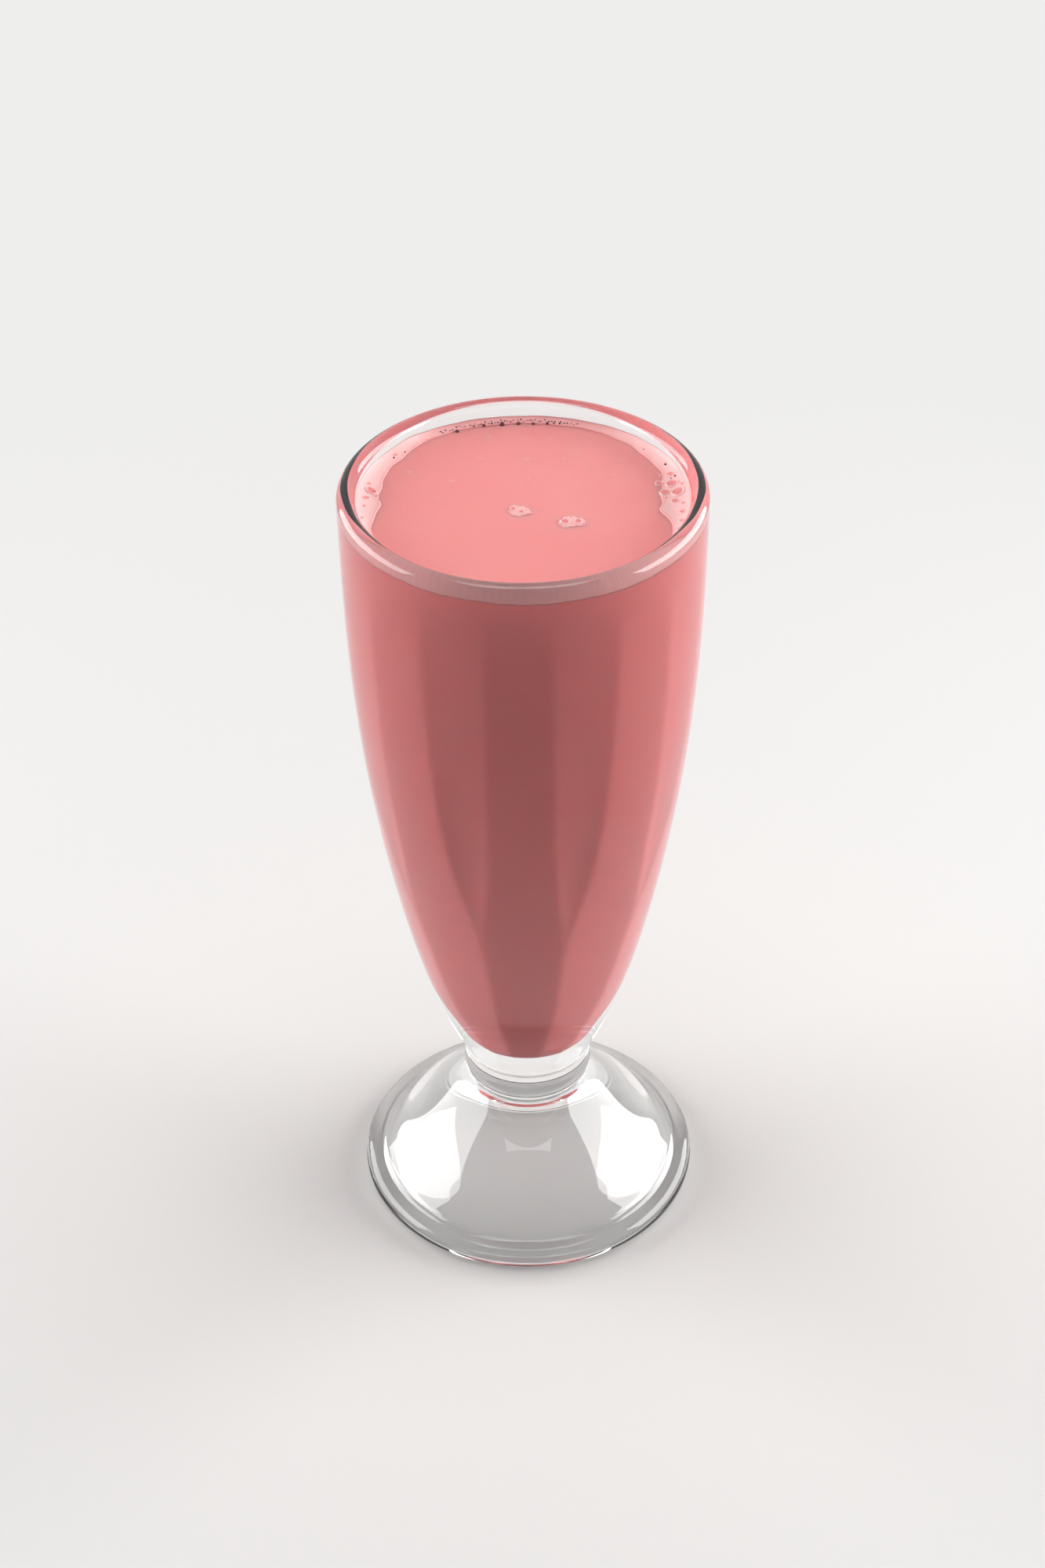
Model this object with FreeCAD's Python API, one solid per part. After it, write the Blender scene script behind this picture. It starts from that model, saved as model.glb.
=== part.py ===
import FreeCAD, Part
import math
import os

os.makedirs("parts", exist_ok=True)

# A footed soda glass of rose milk. Sizes in mm, angles in degrees, z up from
# the surface that the glass stands on, -Y towards the front.

# --- driving sizes -----------------------------------------------------------
glass_height = 200.0
rim_radius = 40.5            # outside of the mouth
rim_wall = 4.2               # thickness of the rounded rim
neck_radius = 15.4           # thick stem under the bowl
neck_top_z = 41.0            # where the stem opens into the bowl
collar_radius = 15.6         # raised ring round the stem
collar_z = 31.2              # groove between the collar and the foot
collar_groove = 0.9          # depth of that groove
foot_radius = 41.4
foot_bead = 3.0              # radius of the rounded edge of the foot
foot_hollow = 24.0           # height of the hollow under the foot
contact_width = 1.6          # flat ring that touches the surface

bowl_floor_z = 47.4          # inside bottom of the bowl
bowl_floor_radius = 4.8
panels = 8                   # flat panels pressed inside the bowl
panel_width = 14.1           # in the upper part, with ribs between the panels
panel_low_width = 16.0       # lower down, until the panels meet
narrow_above_z = 118.0       # the panels have their upper width from here up
wide_below_z = 95.0          # and their lower width from here down
panel_turn = 1.8             # the front panel is turned this far to the left
plain_band = 10.0            # plain round wall above the panels, to the rim's top
least_rib_angle = 2.0        # taken by a rib's thin end, where the panels have met

headspace = 4.6              # from the drink up to the rim's top
froth_climb = 1.8            # froth above the drink's level, at the wall
froth_lip = 0.3              # froth above the drink's level, at its inner edge
froth_depth = 1.0            # froth below the drink's level
froth_side_width = 6.2       # widest, left and right
froth_back_width = 2.4
froth_front_width = 1.4      # narrowest
froth_ripple = 0.35          # unevenness of the inner edge
fit_gap = 0.05               # between the drink and the glass

# --- worked out from them -----------------------------------------------------
mouth_radius = rim_radius - rim_wall
lip_radius = rim_wall / 2
panels_top_z = glass_height - plain_band
milk_level = glass_height - headspace
froth_bottom_z = milk_level - froth_depth
bead_centre = foot_radius - foot_bead
bead_inset = 1.1             # the dome meets the bead this far inside its centre
bead_top_z = 1.93 * foot_bead


def along(start, end, shares):
    """Points between two (radius, height) ends, each a share of the way out and up."""
    return [(start[0] + (end[0] - start[0]) * out, start[1] + (end[1] - start[1]) * up)
            for out, up in shares]


def point(radius, z):
    return FreeCAD.Vector(radius, 0, z)


def curve_through(outline):
    curve = Part.BSplineCurve()
    curve.interpolate([point(radius, z) for radius, z in outline])
    return curve


def line(start, end):
    return Part.makeLine(point(*start), point(*end))


def between(stations, z):
    """Value at height z from (height, value) stations, straight between them."""
    if z <= stations[0][0]:
        return stations[0][1]
    for (low_z, low), (high_z, high) in zip(stations, stations[1:]):
        if z <= high_z:
            return low + (high - low) * (z - low_z) / (high_z - low_z)
    return stations[-1][1]


# --- the panelled inside of the bowl ------------------------------------------
# Eight flat panels run from the floor to the plain band. In the upper part a
# rounded rib about as wide as a panel stands between each two. As the bowl
# narrows the ribs taper away, and near the floor the panels meet at corners.
panel_outline = along((0, bowl_floor_z), (mouth_radius, panels_top_z), [
    (bowl_floor_radius / mouth_radius, 0.0),
    (0.165, 0.008),
    (0.188, 0.018),
    (0.215, 0.039),
    (0.262, 0.067),
    (0.317, 0.102),
    (0.383, 0.158),
    (0.444, 0.222),
    (0.502, 0.278),
    (0.568, 0.334),
    (0.657, 0.404),
    (0.783, 0.509),
    (0.916, 0.684),
    (0.982, 0.860),
    (1.0, 1.0),
])
panel_curve = curve_through(panel_outline)

panel_run = panels_top_z - bowl_floor_z
rib_height = [               # share of the radius that a rib stands in from its edges
    (wide_below_z - 5, 0.003),
    (narrow_above_z, 0.042),
    (bowl_floor_z + 0.75 * panel_run, 0.030),
    (bowl_floor_z + 0.95 * panel_run, 0.024),
    (panels_top_z, 0.0),
]
flatness = [                 # 1 is a flat panel, 0 is part of the round wall
    (bowl_floor_z, 0.97),
    (bowl_floor_z + 0.95 * panel_run, 0.97),
    (panels_top_z, 0.0),
]


def panel_distance(z):
    """From the axis to the middle of a panel at height z, by halving."""
    low, high = panel_curve.FirstParameter, panel_curve.LastParameter
    for _ in range(40):
        middle = (low + high) / 2
        if panel_curve.value(middle).z < z:
            low = middle
        else:
            high = middle
    return panel_curve.value((low + high) / 2).x


def half_panel_angle(z, middle):
    """Half of what a panel takes up at height z, where its middle is that far out."""
    up = min(max((z - wide_below_z) / (narrow_above_z - wide_below_z), 0), 1)
    width = panel_low_width + (panel_width - panel_low_width) * up * up * (3 - 2 * up)
    return min(math.degrees(math.atan(width / 2 / middle)), 180.0 / panels - least_rib_angle / 2)


def panel_section(z, gap):
    """Closed outline of the inside of the bowl at height z, drawn in by a gap."""
    middle = panel_distance(z) - gap
    share = 180.0 / panels
    half_panel = half_panel_angle(z, middle)
    bulge = 1 / math.cos(math.radians(half_panel)) - 1
    edge = middle * (1 + bulge * between(flatness, z))
    rib_top = edge * (1 - between(rib_height, z))

    def at(radius, angle):
        turn = math.radians(angle - panel_turn)
        return FreeCAD.Vector(radius * math.sin(turn), -radius * math.cos(turn), z)

    arcs = []
    for k in range(panels):
        centre = 2 * share * k
        right = centre + half_panel
        next_left = centre + 2 * share - half_panel
        arcs.append(Part.Arc(at(edge, centre - half_panel), at(middle, centre), at(edge, right)).toShape())
        arcs.append(Part.Arc(at(edge, right), at(rib_top, centre + share), at(edge, next_left)).toShape())
    return Part.Wire(arcs)


def inside_of_bowl(top_z, gap):
    """Solid that fills the bowl from its floor, panelled and then plainly round."""
    steps = 24
    heights = [bowl_floor_z + panel_run * (k / steps) ** 1.7 for k in range(steps + 1)]
    sections = [panel_section(z, gap) for z in heights]
    panelled = Part.makeLoft(sections, True, False)
    plain = Part.makeCylinder(mouth_radius - gap, top_z - panels_top_z, FreeCAD.Vector(0, 0, panels_top_z))
    return panelled.fuse(plain)


# --- the glass -----------------------------------------------------------------
def glass():
    bowl_top = (rim_radius, glass_height - lip_radius)
    neck_top = (neck_radius, neck_top_z)
    groove = (collar_radius - collar_groove, collar_z)
    dome_end = (bead_centre - bead_inset, bead_top_z)
    contact_in = (bead_centre - contact_width, 0)

    rim = Part.Arc(point(mouth_radius, glass_height - lip_radius),
                   point(mouth_radius + lip_radius, glass_height),
                   point(*bowl_top))
    bowl = curve_through(along(neck_top, bowl_top, [
        (0.0, 0.0), (0.155, 0.057), (0.442, 0.198), (0.685, 0.376),
        (0.873, 0.580), (0.972, 0.790), (1.0, 1.0)]))
    collar_run = neck_top_z - collar_z
    stem = curve_through([
        neck_top,
        (neck_radius, neck_top_z - 0.25 * collar_run),
        (collar_radius, neck_top_z - 0.46 * collar_run),
        (collar_radius, neck_top_z - 0.71 * collar_run),
        (collar_radius - collar_groove / 2, neck_top_z - 0.89 * collar_run),
        groove,
    ])
    dome = curve_through(along(groove, dome_end, [
        (0.0, 0.0), (0.05, 0.063), (0.168, 0.181), (0.412, 0.421),
        (0.70, 0.693), (0.916, 0.89), (1.0, 1.0)]))
    bead = Part.Arc(point(*dome_end), point(foot_radius, foot_bead), point(bead_centre, 0))
    hollow = curve_through(along((0, foot_hollow), contact_in, [
        (0.0, 0.0), (0.163, 0.029), (0.326, 0.142), (0.543, 0.375),
        (0.761, 0.683), (0.924, 0.908), (1.0, 1.0)]))
    outline = Part.Wire([
        line((0, foot_hollow), (0, glass_height - lip_radius)),
        line((0, glass_height - lip_radius), (mouth_radius, glass_height - lip_radius)),
        rim.toShape(),
        bowl.toShape(),
        stem.toShape(),
        dome.toShape(),
        bead.toShape(),
        line((bead_centre, 0), contact_in),
        hollow.toShape(),
    ])
    blank = Part.Face(outline).revolve(FreeCAD.Vector(0, 0, 0), FreeCAD.Vector(0, 0, 1), 360)
    return blank.cut(inside_of_bowl(glass_height, 0.0))


# --- the froth: a narrow ring on the drink, widest left and right ---------------
def froth_width(angle):
    """Width of the froth at an angle from the front, in radians."""
    narrow = froth_front_width if math.cos(angle) > 0 else froth_back_width
    smooth = narrow + (froth_side_width - narrow) * math.sin(angle) ** 4
    return smooth + froth_ripple * (math.sin(5 * angle + 0.7) + 0.6 * math.sin(11 * angle))


def froth_ring(outer_radius):
    """Upright ring from the froth's wavy inner edge out to a circle."""
    stations = 60
    edge = []
    for k in range(stations):
        angle = 2 * math.pi * k / stations
        radius = mouth_radius - froth_width(angle)
        edge.append(FreeCAD.Vector(radius * math.sin(angle), -radius * math.cos(angle), froth_bottom_z))
    inner = Part.BSplineCurve()
    inner.interpolate(edge, PeriodicFlag=True)
    hole = Part.Face(Part.Wire(inner.toShape()))
    disc = Part.Face(Part.Wire(Part.makeCircle(outer_radius, FreeCAD.Vector(0, 0, froth_bottom_z))))
    return disc.cut(hole).extrude(FreeCAD.Vector(0, 0, glass_height - froth_bottom_z))


def froth():
    wall = mouth_radius - fit_gap
    lip = wall - froth_side_width - 2 * froth_ripple
    lip_z = milk_level + froth_lip
    profile = Part.makePolygon([
        point(0, froth_bottom_z),
        point(wall, froth_bottom_z),
        point(wall, milk_level + froth_climb),
        point(lip, lip_z),
        point(0, lip_z),
        point(0, froth_bottom_z),
    ])
    mound = Part.Face(profile).revolve(FreeCAD.Vector(0, 0, 0), FreeCAD.Vector(0, 0, 1), 360)
    return froth_ring(rim_radius).common(mound)


# --- the drink -------------------------------------------------------------------
def milk():
    return inside_of_bowl(milk_level, fit_gap).cut(froth_ring(rim_radius))


for name, shape in (("glass", glass()), ("milk", milk()), ("froth", froth())):
    print(name, "valid" if shape.isValid() else "BROKEN", len(shape.Solids), "solid", round(shape.Volume), "mm3")
    shape.exportStep("parts/" + name + ".step")
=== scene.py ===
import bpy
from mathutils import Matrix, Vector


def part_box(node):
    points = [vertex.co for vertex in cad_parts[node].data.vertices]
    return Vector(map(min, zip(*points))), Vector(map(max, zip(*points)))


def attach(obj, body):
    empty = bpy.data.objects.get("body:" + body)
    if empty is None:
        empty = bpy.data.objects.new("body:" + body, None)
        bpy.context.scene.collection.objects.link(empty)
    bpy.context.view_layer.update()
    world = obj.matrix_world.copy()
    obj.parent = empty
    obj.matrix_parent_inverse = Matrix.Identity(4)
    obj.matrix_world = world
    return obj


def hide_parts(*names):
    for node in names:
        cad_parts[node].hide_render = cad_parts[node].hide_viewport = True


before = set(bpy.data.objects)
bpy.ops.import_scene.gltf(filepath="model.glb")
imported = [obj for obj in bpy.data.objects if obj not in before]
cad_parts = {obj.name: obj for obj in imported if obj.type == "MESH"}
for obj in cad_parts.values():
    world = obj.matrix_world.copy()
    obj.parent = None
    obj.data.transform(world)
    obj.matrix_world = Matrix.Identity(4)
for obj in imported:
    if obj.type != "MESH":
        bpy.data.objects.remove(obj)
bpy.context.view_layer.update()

import math

import bpy
import numpy as np
from mathutils import Matrix, Vector

# ==== The glass ====================================================================
# A soda glass pressed in one piece from clear soda-lime glass and then fire
# polished: rounded rim, tapering bowl, thick stem with a collar, domed hollow foot.
# Eight flat panels are pressed inside the bowl, with rounded ribs between them.
mm = 0.001
glass_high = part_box("glass")[1]
glass_height = glass_high.z
foot_radius = glass_high.x
rim_radius = 40.5 * mm
rim_wall = 4.2 * mm
neck_radius = 15.4 * mm
neck_top_z = 41.0 * mm
collar_radius = 15.6 * mm
collar_z = 31.2 * mm
collar_groove = 0.9 * mm
foot_bead = 3.0 * mm
bead_inset = 1.1 * mm           # the dome meets the bead this far inside its centre
bead_top_z = 1.93 * foot_bead
foot_hollow = 24.0 * mm
contact_width = 1.6 * mm
bowl_floor_z = 47.4 * mm
bowl_floor_radius = 4.8 * mm
plain_band = 10.0 * mm
panels = 8
panel_width = 14.1 * mm         # in the upper part, with ribs between the panels
panel_low_width = 16.0 * mm     # lower down, until the panels meet
narrow_above_z = 118.0 * mm     # the panels have their upper width from here up
wide_below_z = 95.0 * mm        # and their lower width from here down
panel_turn = math.radians(1.8)
least_rib_angle = math.radians(2.0)
edge_softness = 0.55 * mm       # how far the polish rounds a panel's edges

mouth_radius = rim_radius - rim_wall
lip_radius = rim_wall / 2
lip_z = glass_height - lip_radius
panels_top_z = glass_height - plain_band
bead_centre = foot_radius - foot_bead
points_round = 320
turns = np.arange(points_round) * 2 * math.pi / points_round


def along(start, end, shares):
    """Points between two (radius, height) ends, each a share of the way out and up."""
    start, end = np.array(start), np.array(end)
    return start + (end - start) * np.array(shares)


def smooth_through(points, steps):
    """A smooth curve through the points: a natural cubic spline over their spacing."""
    points = np.array(points, float)
    count = len(points)
    knots = np.concatenate([[0], np.cumsum(np.linalg.norm(np.diff(points, axis=0), axis=1))])
    gap = np.diff(knots)
    system = np.zeros((count, count))
    right = np.zeros((count, 2))
    system[0, 0] = 1
    system[-1, -1] = 1
    for k in range(1, count - 1):
        system[k, k - 1:k + 2] = gap[k - 1], 2 * (gap[k - 1] + gap[k]), gap[k]
        right[k] = 6 * ((points[k + 1] - points[k]) / gap[k] - (points[k] - points[k - 1]) / gap[k - 1])
    bend = np.linalg.solve(system, right)
    curve = []
    for at in np.linspace(0, knots[-1], steps + 1):
        k = min(np.searchsorted(knots, at, side="right") - 1, count - 2)
        a = (knots[k + 1] - at) / gap[k]
        b = 1 - a
        curve.append(a * points[k] + b * points[k + 1]
                     + ((a ** 3 - a) * bend[k] + (b ** 3 - b) * bend[k + 1]) * gap[k] ** 2 / 6)
    return np.array(curve)


def round_arc(centre, radius, start, end, steps):
    """Points on an arc in the (radius, height) plane, from one angle to another, in degrees."""
    angles = np.radians(np.linspace(start, end, steps + 1))
    return np.stack([centre[0] + radius * np.cos(angles), centre[1] + radius * np.sin(angles)], axis=1)


panel_line = smooth_through(along((0, bowl_floor_z), (mouth_radius, panels_top_z), [
    (bowl_floor_radius / mouth_radius, 0.0), (0.165, 0.008), (0.188, 0.018), (0.215, 0.039),
    (0.262, 0.067), (0.317, 0.102), (0.383, 0.158), (0.444, 0.222), (0.502, 0.278), (0.568, 0.334),
    (0.657, 0.404), (0.783, 0.509), (0.916, 0.684), (0.982, 0.860), (1.0, 1.0)]), 400)
panel_run = panels_top_z - bowl_floor_z
panels_fade_z = bowl_floor_z + 0.95 * panel_run
flat_share = 0.97               # 1 is a flat panel, 0 is part of the round wall
rib_heights = [wide_below_z - 5 * mm, narrow_above_z, bowl_floor_z + 0.75 * panel_run,
               panels_fade_z, panels_top_z]
rib_shares = [0.003, 0.042, 0.030, 0.024, 0]    # how far a rib stands in, as a share of the radius
finer = 8                       # a section is worked out this much finer, and then softened


def softened(values, spread, reach):
    """Values all the way round, each averaged over its neighbours up to a reach, the nearest most."""
    weights = np.exp(-0.5 * (np.arange(-reach, reach + 1) / spread) ** 2)
    padded = np.concatenate([values[-reach:], values, values[:reach]])
    return np.convolve(padded, weights / weights.sum(), mode="valid")


def bowl_section(z, outward=0.0):
    """Radius of the bowl's inside at height z, all the way round."""
    if z >= panels_top_z:
        return np.full(len(turns), mouth_radius + outward)
    middle = np.interp(z, panel_line[:, 1], panel_line[:, 0])
    rib = np.interp(z, rib_heights, rib_shares)
    flat = np.interp(z, [panels_fade_z, panels_top_z], [flat_share, 0])
    step = math.pi / panels
    up = min(max((z - wide_below_z) / (narrow_above_z - wide_below_z), 0), 1)
    width = panel_low_width + (panel_width - panel_low_width) * up * up * (3 - 2 * up)
    half_panel = min(math.atan(width / 2 / middle), step - least_rib_angle / 2)
    edge = middle * (1 + (1 / math.cos(half_panel) - 1) * flat)
    fine = np.arange(finer * points_round) * 2 * math.pi / (finer * points_round)
    across = (fine + panel_turn + step) % (2 * step) - step
    on_panel = np.abs(across) <= half_panel
    off_rib = np.where(across > 0, across - step, across + step)
    radius = np.where(on_panel,
                      arc_radius(middle, edge, half_panel, across),
                      arc_radius(edge * (1 - rib), edge, step - half_panel, off_rib))
    spread = edge_softness / middle / (fine[1] - fine[0])
    return softened(radius, spread, int(3 * spread) + 1)[::finer] + outward


def arc_radius(middle, edge, half, across):
    """Distance from the axis to an arc through its middle and its two edges."""
    reach = middle - edge * math.cos(half)
    if abs(reach) < 1e-9:
        return middle / np.cos(across)
    centre = (middle ** 2 - edge ** 2) / (2 * reach)
    inside = np.maximum((middle - centre) ** 2 - (centre * np.sin(across)) ** 2, 0)
    return centre * np.cos(across) + math.copysign(1, reach) * np.sqrt(inside)


def smooth_piece(name, corners, faces):
    """A piece of the scene, with smooth faces."""
    mesh = bpy.data.meshes.new(name)
    mesh.from_pydata(corners, [], faces)
    mesh.polygons.foreach_set("use_smooth", [True] * len(mesh.polygons))
    piece = bpy.data.objects.new(name, mesh)
    bpy.context.scene.collection.objects.link(piece)
    return piece


def turned_mesh(name, rings, closed_ends):
    """Mesh from rings of (radii, height), with a centre point over each closed end."""
    around = len(turns)
    corners = []
    for radii, z in rings:
        level = np.full(around, z)
        corners.append(np.stack([radii * np.sin(turns), -radii * np.cos(turns), level], axis=1))
    corners = [tuple(corner) for corner in np.concatenate(corners)]
    faces = []
    for k in range(len(rings) - 1):
        for i in range(around):
            j = (i + 1) % around
            faces.append((k * around + i, k * around + j, (k + 1) * around + j, (k + 1) * around + i))
    for ring, z in closed_ends:
        corners.append((0.0, 0.0, z))
        tip = len(corners) - 1
        first = ring * around
        for i in range(around):
            j = (i + 1) % around
            faces.append((first + j, first + i, tip) if ring == 0 else (first + i, first + j, tip))
    return smooth_piece(name, corners, faces)


def plain_ring(radius, z):
    return np.full(len(turns), radius), z


bowl_top = (rim_radius, lip_z)
groove = (collar_radius - collar_groove, collar_z)
dome_end = (bead_centre - bead_inset, bead_top_z)
contact_in = (bead_centre - contact_width, 0.0)
collar_run = neck_top_z - collar_z
underside = smooth_through(along((0, foot_hollow), contact_in, [
    (0.0, 0.0), (0.163, 0.029), (0.326, 0.142), (0.543, 0.375),
    (0.761, 0.683), (0.924, 0.908), (1.0, 1.0)]), 36)
bead = round_arc((bead_centre, foot_bead), foot_bead, -90, 112, 22)
dome = smooth_through(along(groove, dome_end, [
    (0.0, 0.0), (0.05, 0.063), (0.168, 0.181), (0.412, 0.421),
    (0.70, 0.693), (0.916, 0.89), (1.0, 1.0)]), 26)[::-1]
stem = smooth_through([
    groove,
    (collar_radius - collar_groove / 2, neck_top_z - 0.89 * collar_run),
    (collar_radius, neck_top_z - 0.71 * collar_run),
    (collar_radius, neck_top_z - 0.46 * collar_run),
    (neck_radius, neck_top_z - 0.25 * collar_run),
    (neck_radius, neck_top_z)], 22)
bowl = smooth_through(along((neck_radius, neck_top_z), bowl_top, [
    (0.0, 0.0), (0.155, 0.057), (0.442, 0.198), (0.685, 0.376),
    (0.873, 0.580), (0.972, 0.790), (1.0, 1.0)]), 60)
rim = round_arc((rim_radius - lip_radius, lip_z), lip_radius, 0, 180, 24)

glass_rings = []
for run in (underside[1:], bead[1:], dome[2:], stem[1:], bowl[1:], rim[1:]):
    glass_rings += [plain_ring(radius, z) for radius, z in run]
inside_rings = 80
inside_heights = list(np.linspace(lip_z, panels_top_z, 6)[1:-1])
inside_heights += [bowl_floor_z + panel_run * share ** 1.7 for share in np.linspace(1, 0, inside_rings)]
glass_rings += [(bowl_section(z), z) for z in inside_heights]
glass = turned_mesh("glass_body", glass_rings, [(0, foot_hollow), (len(glass_rings) - 1, bowl_floor_z)])


def new_material(name):
    material = bpy.data.materials.new(name)
    material.use_nodes = True
    return material, material.node_tree, material.node_tree.nodes["Principled BSDF"]


def object_noise(tree, scale, detail=2.0, stretch=(1, 1, 1)):
    """Noise fixed to the piece, in metres, and stretched along its own axes."""
    place = tree.nodes.new("ShaderNodeTexCoord")
    mapping = tree.nodes.new("ShaderNodeMapping")
    mapping.inputs["Scale"].default_value = stretch
    noise = tree.nodes.new("ShaderNodeTexNoise")
    noise.inputs["Scale"].default_value = scale
    noise.inputs["Detail"].default_value = detail
    tree.links.new(place.outputs["Object"], mapping.inputs["Vector"])
    tree.links.new(mapping.outputs["Vector"], noise.inputs["Vector"])
    return noise.outputs["Fac"]


def value_range(tree, value, from_low, from_high, to_low, to_high):
    node = tree.nodes.new("ShaderNodeMapRange")
    node.inputs["From Min"].default_value = from_low
    node.inputs["From Max"].default_value = from_high
    node.inputs["To Min"].default_value = to_low
    node.inputs["To Max"].default_value = to_high
    tree.links.new(value, node.inputs["Value"])
    return node.outputs["Result"]


def bump(tree, height, distance, strength, shader):
    """Small unevenness of a surface, from a height between 0 and 1 times a distance in metres."""
    node = tree.nodes.new("ShaderNodeBump")
    node.inputs["Distance"].default_value = distance
    node.inputs["Strength"].default_value = strength
    tree.links.new(height, node.inputs["Height"])
    tree.links.new(node.outputs["Normal"], shader.inputs["Normal"])


# Fire-polished surface: clear, with the faint waviness of a pressed wall and a
# little haze where hands and cloths have been.
clear_glass, tree, shader = new_material("clear_pressed_glass")
shader.inputs["Base Color"].default_value = (0.985, 0.99, 0.987, 1)
shader.inputs["IOR"].default_value = 1.52
shader.inputs["Transmission Weight"].default_value = 1.0
haze = value_range(tree, object_noise(tree, 60, 4), 0.45, 0.75, 0.0, 0.03)
tree.links.new(haze, shader.inputs["Roughness"])
bump(tree, object_noise(tree, 90, 1, (1, 1, 0.35)), 0.0004, 0.05, shader)
glass.data.materials.append(clear_glass)
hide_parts("glass")
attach(glass, "root")

# ==== The drink ======================================================================
# Cold milk coloured with rose syrup: opaque, pink, with a wet surface. It fills the
# panelled bowl and reaches just into the wall, so no air shows between them.
headspace = 4.6 * mm
milk_level = glass_height - headspace
into_wall = 0.12 * mm
milk_pink = (0.90, 0.308, 0.303, 1)
milk_pink_streaks = (0.92, 0.375, 0.365, 1)
# painted shade: a deeper copy of the drink's pink, for where it lies against the wall
painted_shade_pink = (0.91, 0.255, 0.265, 1)       # deeper, as the wall's reflections pale it
painted_shade_pink_streaks = (0.92, 0.29, 0.295, 1)
milk_edge = 0.2 * mm            # from the drink's edge to its last ring, down and inwards
side_rings = 92
top_rings = 24

milk_bottom_z = bowl_floor_z - into_wall
milk_top_radius = mouth_radius + into_wall
side_run = milk_level - milk_edge - bowl_floor_z
side_heights = [bowl_floor_z + side_run * share ** 1.6 for share in np.linspace(0, 1, side_rings)]
top_radii = np.linspace(milk_top_radius - milk_edge, 2 * mm, top_rings)
milk_rings = [(bowl_section(bowl_floor_z) + into_wall, milk_bottom_z)]
milk_rings += [(bowl_section(z, into_wall), z) for z in side_heights]
milk_rings += [plain_ring(milk_top_radius, milk_level)]
milk_rings += [plain_ring(radius, milk_level) for radius in top_radii]
milk = turned_mesh("rose_milk", milk_rings, [(0, milk_bottom_z), (len(milk_rings) - 1, milk_level)])


def milk_material(name, colour, streak_colour, roughness, gloss):
    """Opaque pink milk, very slightly uneven where the syrup has mixed in."""
    material, tree, shader = new_material(name)
    mix = tree.nodes.new("ShaderNodeMix")
    mix.data_type = "RGBA"
    mix.inputs["A"].default_value = colour
    mix.inputs["B"].default_value = streak_colour
    streaks = value_range(tree, object_noise(tree, 45, 5), 0.40, 0.72, 0.0, 0.35)
    tree.links.new(streaks, mix.inputs["Factor"])
    tree.links.new(mix.outputs["Result"], shader.inputs["Base Color"])
    shader.inputs["Roughness"].default_value = roughness
    shader.inputs["IOR"].default_value = 1.35
    shader.inputs["Specular IOR Level"].default_value = gloss
    shader.inputs["Subsurface Weight"].default_value = 1.0
    shader.inputs["Subsurface Radius"].default_value = (1.0, 0.5, 0.5)
    shader.inputs["Subsurface Scale"].default_value = 0.003
    return material, tree, shader


# painted shade: the drink against the wall takes the deeper pink, its surface the lighter one
milk_side, tree, shader = milk_material("rose_milk_painted_shade_against_glass", painted_shade_pink,
                                        painted_shade_pink_streaks, 0.6, 0.0)
bump(tree, object_noise(tree, 300, 2), 0.0002, 0.05, shader)
milk_top, tree, shader = milk_material("rose_milk_surface", milk_pink, milk_pink_streaks, 0.3, 0.25)
bump(tree, object_noise(tree, 70, 2), 0.0003, 0.06, shader)
milk.data.materials.append(milk_side)
milk.data.materials.append(milk_top)
for face in milk.data.polygons:
    if face.center.z > milk_level - 0.15 * mm:
        face.material_index = 1
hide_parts("milk")
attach(milk, "root")

# ==== The froth ======================================================================
# A narrow ring of very small bubbles that has gathered along the wall and clings a
# little way up it: widest at the left and right, hardly there at the back and front.
froth_lip = 0.25 * mm           # height of the froth's inner edge
froth_into_wall = 0.17 * mm
froth_brink = 0.12 * mm         # from the top of its climb down to where it leaves the wall
froth_inset = 0.05 * mm         # and in from the wall
froth_slope = 2.4               # the froth falls off from the wall by this power
froth_points = 720
froth_wall_rings = 8
froth_top_rings = 20
froth_turns = np.arange(froth_points) * 2 * math.pi / froth_points


def round_the_wall(stations, softness=4.0):
    """Values at all froth turns from (degrees from the front, value) stations, softened."""
    degrees, values = np.array(stations, float).T
    fine = np.interp(np.degrees(froth_turns), degrees % 360, values, period=360)
    spread = softness * froth_points / 360
    return softened(fine, spread, int(3 * spread))


def uneven(waves):
    """Smooth unevenness round the ring from (how many waves, phase, share)."""
    total = np.zeros(froth_points)
    for count, phase, share in waves:
        total += share * np.sin(count * froth_turns + phase)
    return total


froth_width = mm * round_the_wall([
    (0, 0.8), (50, 0.9), (62, 1.6), (72, 2.6), (80, 4.6), (86, 6.4), (98, 6.4), (106, 4.2),
    (118, 2.9), (135, 2.1), (150, 1.5), (165, 1.6), (180, 1.9), (195, 1.8), (207, 1.3), (220, 1.8),
    (235, 3.0), (248, 3.2), (260, 5.0), (268, 5.6), (276, 4.2), (286, 2.3), (296, 1.3), (312, 0.9)], 2.5)
froth_width *= 1 + uneven([(9, 1.0, 0.05), (17, 2.2, 0.06), (31, 0.4, 0.04)])
froth_climb = mm * round_the_wall([
    (0, 1.7), (20, 1.8), (38, 2.1), (70, 2.2), (90, 1.7), (120, 1.8), (150, 1.3), (180, 1.0),
    (207, 1.2), (228, 1.8), (234, 1.1), (240, 1.7), (270, 1.8), (300, 2.2), (322, 2.1), (340, 1.8)], 3.0)
froth_climb *= 1 + uneven([(13, 0.3, 0.03), (29, 1.9, 0.03)])
froth_under = mm * (0.75 + uneven([(3, 0.2, 0.12), (11, 1.1, 0.10), (41, 2.0, 0.05)]))
froth_pale = round_the_wall([
    (0, 0.7), (28, 0.8), (45, 1.0), (80, 1.0), (140, 0.95), (158, 0.5), (180, 0.38), (204, 0.5),
    (218, 1.0), (280, 1.0), (320, 0.9), (340, 0.75)])
froth_streaks = round_the_wall([(0, 0.3), (40, 0.1), (180, 0.1), (290, 0.4), (305, 1.0), (340, 0.7)])


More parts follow.
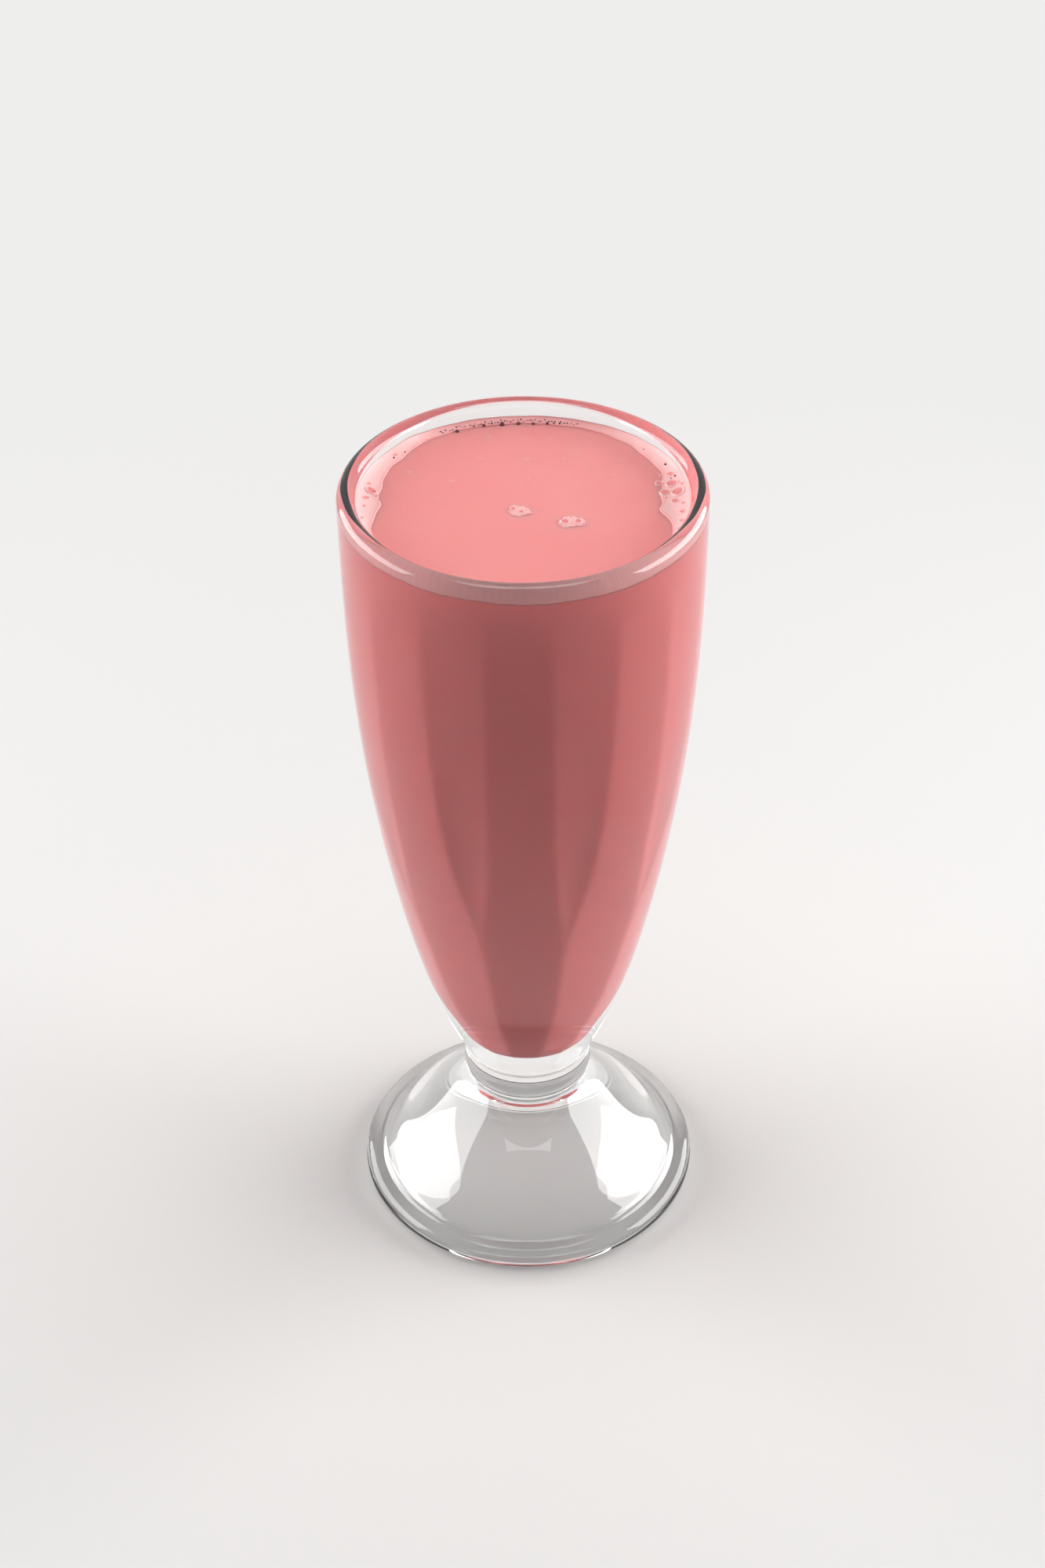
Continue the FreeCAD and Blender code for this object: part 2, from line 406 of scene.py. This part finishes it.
def froth_rings():
    """Rings of (radii, heights, paleness) from under the froth up the wall and in over its top."""
    wall = mouth_radius + froth_into_wall
    everywhere = np.ones(froth_points)
    streak = np.clip(uneven([(139, 0.4, 0.5), (211, 1.7, 0.5), (283, 0.6, 0.4)]), 0, 1) * froth_streaks
    rings = []
    for up in np.linspace(0, 1, froth_wall_rings):
        z = (milk_level - froth_under) * (1 - up) + (milk_level + froth_climb - froth_brink) * up
        paleness = froth_pale * (1 - 0.45 * streak) * (0.55 + 0.45 * up)
        rings.append((wall * everywhere, z, paleness))
    for across in np.linspace(0, 1, froth_top_rings):
        radius = wall - froth_inset - froth_width * across
        z = milk_level + froth_lip + (froth_climb - froth_lip) * (1 - across) ** froth_slope
        fade = np.clip((1 - across) / 0.12, 0, 1)
        rings.append((radius, z, froth_pale * (0.45 + 0.55 * fade)))
    inner = wall - froth_inset - froth_width
    # (mm outwards from the inner edge, mm above the drink, share of the paleness)
    for out, up, share in ((-0.12, 0.12, 0.25), (-0.20, -0.05, 0.1), (0.2, -0.5, 0.1)):
        rings.append((inner + out * mm, (milk_level + up * mm) * everywhere, share * froth_pale))
    return rings


def joined_mesh(name, corners, faces, paleness):
    """One smooth mesh whose corners carry how pale the froth is there."""
    piece = smooth_piece(name, [tuple(corner) for corner in corners], faces)
    pale = piece.data.attributes.new("paleness", "FLOAT", "POINT")
    pale.data.foreach_set("value", np.asarray(paleness, float))
    return piece


corners, faces, paleness = [], [], []
rings = froth_rings()
for k, (radius, z, pale) in enumerate(rings):
    corners.append(np.stack([radius * np.sin(froth_turns), -radius * np.cos(froth_turns), z], axis=1))
    paleness.append(pale)
    low = k * froth_points
    high = (k + 1) % len(rings) * froth_points
    for i in range(froth_points):
        j = (i + 1) % froth_points
        faces.append((low + i, low + j, high + j, high + i))
froth = joined_mesh("froth_ring", np.concatenate(corners), faces, np.concatenate(paleness))


def combined(tree, operation, first, second):
    """Result of a math operation on a value and either another value or a number."""
    node = tree.nodes.new("ShaderNodeMath")
    node.operation = operation
    tree.links.new(first, node.inputs[0])
    if isinstance(second, float):
        node.inputs[1].default_value = second
    else:
        tree.links.new(second, node.inputs[1])
    return node.outputs[0]


# Pale pink where the bubbles are many, milk pink where the froth thins out, painted shade
# of deeper pink than the drink in the hollow of an open bubble, with a fine grain of tiny bubbles all
# over.
rose_froth, tree, shader = new_material("pale_rose_froth")
amount = tree.nodes.new("ShaderNodeAttribute")
amount.attribute_name = "paleness"
cells = tree.nodes.new("ShaderNodeTexVoronoi")
cells.inputs["Scale"].default_value = 1500
place = tree.nodes.new("ShaderNodeTexCoord")
tree.links.new(place.outputs["Object"], cells.inputs["Vector"])
grain = value_range(tree, cells.outputs["Distance"], 0.3, 0.8, 1.0, 0.92)
patchy = value_range(tree, object_noise(tree, 350, 3), 0.3, 0.7, 0.94, 1.06)
shade = combined(tree, "MULTIPLY", amount.outputs["Fac"], grain)
shade = combined(tree, "MULTIPLY", shade, patchy)
ramp = tree.nodes.new("ShaderNodeValToRGB")
ramp.color_ramp.elements[0].position = 0.0
# painted shade: the deepest pink, darker than the drink, for the hollows of open bubbles
ramp.color_ramp.elements[0].color = (0.78, 0.20, 0.20, 1)
ramp.color_ramp.elements[1].position = 1.0
ramp.color_ramp.elements[1].color = (0.94, 0.53, 0.52, 1)
middle = ramp.color_ramp.elements.new(0.25)
middle.color = milk_pink
tree.links.new(value_range(tree, shade, -0.33, 1.0, 0.0, 1.0), ramp.inputs["Fac"])
tree.links.new(ramp.outputs["Color"], shader.inputs["Base Color"])
shader.inputs["Roughness"].default_value = 0.38
bump(tree, cells.outputs["Distance"], 0.00025, 0.2, shader)
froth.data.materials.append(rose_froth)
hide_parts("froth")
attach(froth, "root")

# ==== Open bubbles in the froth ========================================================
# Larger bubbles at the surface, some of them burst: a pale raised rim of small
# bubbles round a hollow with painted shade, deeper than the drink's pink and paler on one side.


def froth_height(x, y):
    """Top of the froth ring at a place, or the drink's level inside the ring."""
    turn = math.atan2(x, -y) % (2 * math.pi)
    width = np.interp(turn, froth_turns, froth_width, period=2 * math.pi)
    climb = np.interp(turn, froth_turns, froth_climb, period=2 * math.pi)
    across = (mouth_radius - math.hypot(x, y)) / width
    if across >= 1:
        return milk_level
    return milk_level + froth_lip + (climb - froth_lip) * (1 - max(across, 0)) ** froth_slope


def cap_faces(faces, first, steps, rings):
    """Faces of a cap: a middle corner, then rings of corners outwards from it."""
    for i in range(steps):
        j = (i + 1) % steps
        faces.append((first, first + 1 + i, first + 1 + j))
        for k in range(rings - 1):
            low = first + 1 + k * steps
            faces.append((low + i, low + steps + i, low + steps + j, low + j))


def open_bubble(corners, faces, paleness, x, y, lies_on, radius, long_share, turn, hollow, rim_pale):
    """Adds one bubble: rings out from its middle, over its rim and down into what it lies on."""
    first = len(corners)
    steps = 28
    # (share of the radius, height as a share of the radius, paleness)
    profile = [(0.0, 0.06, hollow), (0.50, 0.06, hollow), (0.72, 0.08, hollow),
               (0.79, 0.12, 0.5 * rim_pale), (0.88, 0.18, rim_pale), (1.0, 0.16, rim_pale),
               (1.10, 0.04, rim_pale), (1.18, -0.25, 0.6 * rim_pale)]
    corners.append((x, y, lies_on(x, y) + profile[0][1] * radius))
    paleness.append(hollow)
    for share, height, pale in profile[1:]:
        for i in range(steps):
            angle = 2 * math.pi * i / steps
            wobble = 1 + 0.06 * math.sin(3 * angle + 7 * turn) + 0.04 * math.sin(5 * angle + 3 * turn)
            u = radius * share * wobble * long_share * math.cos(angle)
            v = radius * share * wobble * math.sin(angle)
            px = x + u * math.cos(turn) - v * math.sin(turn)
            py = y + u * math.sin(turn) + v * math.cos(turn)
            corners.append((px, py, lies_on(px, py) + height * radius))
            # painted light and shade: one side of the hollow paler, the other deeper
            hollow_light_and_shade = 0.16 * math.sin(angle + turn) if share < 0.8 else 0.0
            paleness.append(pale + hollow_light_and_shade)
    cap_faces(faces, first, steps, len(profile) - 1)


corners, faces, paleness = [], [], []
# (degrees from the front, mm from the axis, radius in mm, how much longer than wide, turn)
for degrees, out, radius, long_share, turn in [
        (103.0, 33.4, 1.30, 1.10, 0.4), (96.2, 33.9, 1.40, 1.15, 1.3), (105.5, 31.0, 0.95, 1.0, 2.0),
        (97.6, 31.2, 1.10, 1.1, 0.2), (109.5, 34.3, 0.75, 1.2, 2.6), (90.6, 33.0, 0.90, 1.0, 0.9),
        (111.0, 32.6, 0.45, 1.0, 0.0), (100.3, 35.3, 0.45, 1.0, 0.0), (87.6, 34.6, 0.5, 1.0, 0.4),
        (100.6, 30.9, 0.4, 1.0, 0.7), (93.6, 31.2, 0.4, 1.0, 0.7), (82.0, 34.6, 0.62, 1.1, 1.2),
        (76.5, 34.9, 0.55, 1.0, 1.7), (71.5, 35.1, 0.45, 1.0, 2.2), (67.0, 35.3, 0.4, 1.0, 2.2),
        (-99.5, 33.6, 1.0, 1.5, 2.3), (-94.0, 34.2, 0.7, 1.3, 0.6), (-103.5, 34.6, 0.5, 1.1, 0.4),
        (-96.5, 32.1, 0.45, 1.0, 0.9), (-88.0, 34.4, 0.4, 1.0, 1.0), (-126.0, 34.9, 0.45, 1.2, 0.3),
        (-80.0, 35.1, 0.4, 1.0, 1.4)]:
    turn_out = math.radians(degrees)
    x, y = out * mm * math.sin(turn_out), -out * mm * math.cos(turn_out)
    # a hollow paleness below 0 is painted shade, deeper pink than the drink
    open_bubble(corners, faces, paleness, x, y, froth_height, radius * mm, long_share, turn, -0.22, 1.15)
open_bubbles = joined_mesh("open_bubbles", corners, faces, paleness)
open_bubbles.data.materials.append(rose_froth)
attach(open_bubbles, "root")

# ==== Foam floating on the drink =======================================================
# Two small flat patches of foam near the middle, each with a couple of larger
# bubbles and several tiny ones, and faint flecks of foam further out.


def foam_patch(corners, faces, paleness, x, y, wide, deep, turn, pale, height, phase):
    """Adds one thin patch with an uneven outline that fades out at its edge."""
    first = len(corners)
    steps = 60
    # (share of the way out, share of the height, share of the paleness)
    shares = [(0.0, 1.0, 1.0), (0.35, 1.0, 1.0), (0.62, 0.95, 1.0), (0.80, 0.80, 0.95),
              (0.92, 0.50, 0.8), (1.0, 0.12, 0.45), (1.04, -0.6, 0.2)]
    corners.append((x, y, milk_level + height))
    paleness.append(pale)
    for share, up, fade in shares[1:]:
        for i in range(steps):
            angle = 2 * math.pi * i / steps
            wobble = (1 + 0.09 * math.sin(3 * angle + phase) + 0.06 * math.sin(5 * angle + 2.1 * phase)
                      + 0.05 * math.sin(9 * angle + 0.7 * phase) + 0.03 * math.sin(14 * angle + phase))
            u = wide / 2 * share * wobble * math.cos(angle)
            v = deep / 2 * share * wobble * math.sin(angle)
            corners.append((x + u * math.cos(turn) - v * math.sin(turn),
                            y + u * math.sin(turn) + v * math.cos(turn), milk_level + height * up))
            paleness.append(pale * fade)
    cap_faces(faces, first, steps, len(shares) - 1)


def foam_top(x, y):
    """What the bubbles of a floating patch lie on."""
    return milk_level + 0.17 * mm


# (mm to the right, mm to the back, width, depth, turn, paleness, height in mm, phase of its outline)
patches = [(-0.9, -2.6, 5.0, 4.2, -0.35, 0.80, 0.16, 0.8), (10.4, -7.2, 6.0, 4.4, 0.05, 0.88, 0.18, 2.6)]
# (mm to the right, mm to the back, width in mm, paleness)
flecks = [(-25.0, 14.0, 1.5, 0.07), (-15.6, 10.0, 1.7, 0.05), (0.8, 19.0, 1.8, 0.05),
          (-9.6, 19.4, 1.3, 0.02), (-7.4, 28.8, 1.6, 0.01), (6.4, 27.5, 1.3, 0.03),
          (9.0, 19.0, 1.2, 0.03), (12.0, 21.0, 1.2, 0.05), (21.8, 18.6, 1.2, 0.03),
          (19.0, 11.5, 1.4, 0.0), (1.2, 10.6, 1.6, 0.01), (-18.6, 3.0, 1.0, -0.01),
          (15.0, 3.0, 1.0, -0.02), (-4.0, -14.0, 0.9, -0.03), (-13.0, -8.0, 0.8, -0.03)]
# a hollow paleness below 0 is painted shade, deeper pink than the drink
# (mm to the right, mm to the back, radius in mm, paleness of its hollow)
patch_bubbles = [(-2.2, -1.9, 0.60, -0.33), (-0.4, -3.1, 0.55, -0.28), (-3.0, -2.9, 0.22, 0.2),
                 (0.9, -2.4, 0.20, 0.2), (-1.1, -0.9, 0.18, 0.15), (1.0, -3.9, 0.22, 0.25),
                 (-1.6, -3.9, 0.17, 0.25), (9.0, -7.2, 0.90, -0.28), (11.8, -7.1, 0.82, -0.28),
                 (10.3, -5.5, 0.30, -0.1), (9.1, -8.7, 0.26, 0.0), (11.3, -8.6, 0.30, 0.02),
                 (12.9, -8.2, 0.20, 0.1), (7.7, -6.4, 0.18, 0.1), (10.4, -7.9, 0.20, 0.1),
                 (13.0, -5.9, 0.16, 0.1), (7.9, -8.1, 0.15, 0.1)]
patches += [(x, y, size, 0.8 * size, x, pale, 0.015, y) for x, y, size, pale in flecks]
corners, faces, paleness = [], [], []
for x, y, wide, deep, turn, pale, height, phase in patches:
    foam_patch(corners, faces, paleness, x * mm, y * mm, wide * mm, deep * mm,
               turn, pale, height * mm, phase)
for x, y, radius, hollow in patch_bubbles:
    open_bubble(corners, faces, paleness, x * mm, y * mm, foam_top, radius * mm, 1.1, x, hollow, 1.1)
floating_foam = joined_mesh("floating_foam", corners, faces, paleness)
# Outer edges dip just under the surface, so that no gap shows beneath the foam.
for corner in floating_foam.data.vertices:
    if corner.co.z < milk_level:
        corner.co.z = milk_level - 0.1 * mm
floating_foam.data.materials.append(rose_froth)
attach(floating_foam, "root")

# ==== Clear bubbles along the back ======================================================
# A row of single bubbles at the back wall, few of them larger than a pinhead. Each is an opaque
# dark rose-brown dome, a painted reflection of dark surroundings in place of a clear film, with the
# lamps' bright point on it.


def clear_dome(corners, faces, x, y, z, radius):
    """Adds one small dome, a little more than half a ball."""
    first = len(corners)
    steps, levels = 16, 7
    corners.append((x, y, z + radius))
    for k in range(1, levels + 1):
        fall = math.radians(105 * k / levels)
        for i in range(steps):
            angle = 2 * math.pi * i / steps
            corners.append((x + radius * math.sin(fall) * math.cos(angle),
                            y + radius * math.sin(fall) * math.sin(angle), z + radius * math.cos(fall)))
    cap_faces(faces, first, steps, levels)


# (mm to the right of the axis, mm from the axis, radius in mm)
row = [(-14.7, 34.6, 0.50), (-8.7, 34.7, 0.38), (-4.6, 34.4, 0.58), (-0.9, 34.5, 0.56),
       (2.5, 34.5, 0.47), (5.6, 34.7, 0.33), (-6.9, 34.9, 0.27), (-10.9, 34.9, 0.24),
       (7.1, 34.9, 0.24), (8.4, 34.9, 0.2)]
chance = np.random.default_rng(7)
smallest_bubbles = 44
for x in np.linspace(-18.5, 12.5, smallest_bubbles):
    x += chance.uniform(-0.25, 0.25)
    out = 35.25 + chance.uniform(-0.25, 0.45)
    row.append((x, out, chance.uniform(0.11, 0.21)))
at_the_sides = [(-28.6, 34.6, 0.22), (-26.2, 34.3, 0.2), (31.5, 35.0, 0.26), (33.4, 34.9, 0.24),
                (32.5, 33.9, 0.17), (27.0, 34.9, 0.15), (-33.4, 34.0, 0.16)]
corners, faces = [], []
for bubbles, sunk_share in ((row, 0.15), (at_the_sides, 0.1)):
    for x, out, radius in bubbles:
        x, y, radius = x * mm, math.sqrt(out ** 2 - x ** 2) * mm, radius * mm
        clear_dome(corners, faces, x, y, froth_height(x, y) - sunk_share * radius, radius)
clear_bubbles = joined_mesh("clear_bubbles", corners, faces, [0.0] * len(corners))
painted_dark_bubble, tree, shader = new_material("clear_bubble_painted_dark")
# painted reflection: a dark rose-brown base colour stands in for dark surroundings seen in and through
# clear films
shader.inputs["Base Color"].default_value = (0.13, 0.035, 0.04, 1)
shader.inputs["IOR"].default_value = 1.33
film = value_range(tree, object_noise(tree, 900, 1), 0.3, 0.7, 0.04, 0.12)
tree.links.new(film, shader.inputs["Roughness"])
clear_bubbles.data.materials.append(painted_dark_bubble)
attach(clear_bubbles, "root")

# ==== Floor, lights and camera =========================================================
# A pale matt table top in a pale studio, with a large softbox on each side and a
# smaller one overhead. They give nearly all the light: the surroundings are pale only
# where they are seen, so that they don't flatten the light on the drink.
floor_half = 3.0
floor_corners = [(-floor_half, -floor_half, 0), (floor_half, -floor_half, 0),
                 (floor_half, floor_half, 0), (-floor_half, floor_half, 0)]
floor_mesh = bpy.data.meshes.new("floor")
floor_mesh.from_pydata(floor_corners, [], [(0, 1, 2, 3)])
floor = bpy.data.objects.new("floor", floor_mesh)
bpy.context.scene.collection.objects.link(floor)
pale_floor, tree, shader = new_material("pale_floor")
shader.inputs["Base Color"].default_value = (0.64, 0.63, 0.62, 1)
shader.inputs["Roughness"].default_value = 0.7
dim = tree.nodes.new("ShaderNodeBsdfDiffuse")
dim.inputs["Color"].default_value = (0.16, 0.155, 0.15, 1)


def seen_directly(tree):
    """1 for what the camera sees, itself or in and through glass, and 0 for light on the object."""
    path = tree.nodes.new("ShaderNodeLightPath")
    seen = path.outputs["Is Camera Ray"]
    seen = combined(tree, "MAXIMUM", seen, path.outputs["Is Glossy Ray"])
    seen = combined(tree, "MAXIMUM", seen, path.outputs["Is Transmission Ray"])
    before_matt = combined(tree, "LESS_THAN", path.outputs["Diffuse Depth"], 0.5)
    return combined(tree, "MULTIPLY", seen, before_matt)


# The lit floor with the glass's shadow runs out into the even tone of the backdrop.
backdrop = (0.86, 0.855, 0.85, 1)
runs_out_from = 0.12
runs_out_to = 0.42
far = tree.nodes.new("ShaderNodeEmission")
far.inputs["Color"].default_value = backdrop
place = tree.nodes.new("ShaderNodeTexCoord")
distance = tree.nodes.new("ShaderNodeVectorMath")
distance.operation = "LENGTH"
tree.links.new(place.outputs["Object"], distance.inputs[0])
share = value_range(tree, distance.outputs["Value"], runs_out_from, runs_out_to, 0.0, 1.0)
runs_out = tree.nodes.new("ShaderNodeMixShader")
tree.links.new(share, runs_out.inputs["Fac"])
tree.links.new(shader.outputs[0], runs_out.inputs[1])
tree.links.new(far.outputs[0], runs_out.inputs[2])
blend = tree.nodes.new("ShaderNodeMixShader")
tree.links.new(seen_directly(tree), blend.inputs["Fac"])
tree.links.new(dim.outputs[0], blend.inputs[1])
tree.links.new(runs_out.outputs[0], blend.inputs[2])
tree.links.new(blend.outputs[0], tree.nodes["Material Output"].inputs["Surface"])
floor.data.materials.append(pale_floor)

world = bpy.data.worlds.new("studio")
bpy.context.scene.world = world
world.use_nodes = True
tree = world.node_tree
fill = tree.nodes["Background"]
fill.inputs["Color"].default_value = (1.0, 1.0, 1.0, 1)
fill.inputs["Strength"].default_value = 0.14
seen_world = tree.nodes.new("ShaderNodeBackground")
seen_world.inputs["Color"].default_value = backdrop
blend = tree.nodes.new("ShaderNodeMixShader")
tree.links.new(seen_directly(tree), blend.inputs["Fac"])
tree.links.new(fill.outputs[0], blend.inputs[1])
tree.links.new(seen_world.outputs[0], blend.inputs[2])
tree.links.new(blend.outputs[0], tree.nodes["World Output"].inputs["Surface"])


lit_middle_z = 0.12


def soft_light(name, place, size, watts):
    """A softbox that faces the middle of the glass."""
    light = bpy.data.lights.new(name, "AREA")
    light.shape = "RECTANGLE"
    light.size, light.size_y = size
    light.energy = watts
    lamp = bpy.data.objects.new(name, light)
    lamp.location = place
    direction = Vector(place) - Vector((0, 0, lit_middle_z))
    lamp.rotation_euler = direction.to_track_quat("Z", "Y").to_euler()
    bpy.context.scene.collection.objects.link(lamp)


soft_light("left_softbox", (-0.95, 0.20, 0.38), (1.3, 0.7), 17)
soft_light("right_softbox", (0.95, 0.20, 0.38), (1.3, 0.7), 21)
soft_light("top_softbox", (0.0, 0.0, 1.4), (0.8, 0.6), 5)

camera_data = bpy.data.cameras.new("camera")
camera_data.sensor_fit = "VERTICAL"
camera_data.sensor_height = 36
camera_data.lens = 67.43
camera = bpy.data.objects.new("camera", camera_data)
camera.location = (0.0, -0.5438, 0.5329)
heading = Matrix.Rotation(math.radians(0.072), 3, "Z")
tilt = Matrix.Rotation(math.radians(52.74), 3, "X")
roll = Matrix.Rotation(math.radians(-0.525), 3, "Z")
camera.rotation_euler = (heading @ tilt @ roll).to_euler()
bpy.context.scene.collection.objects.link(camera)
bpy.context.scene.camera = camera
bpy.context.scene.view_settings.view_transform = "Standard"
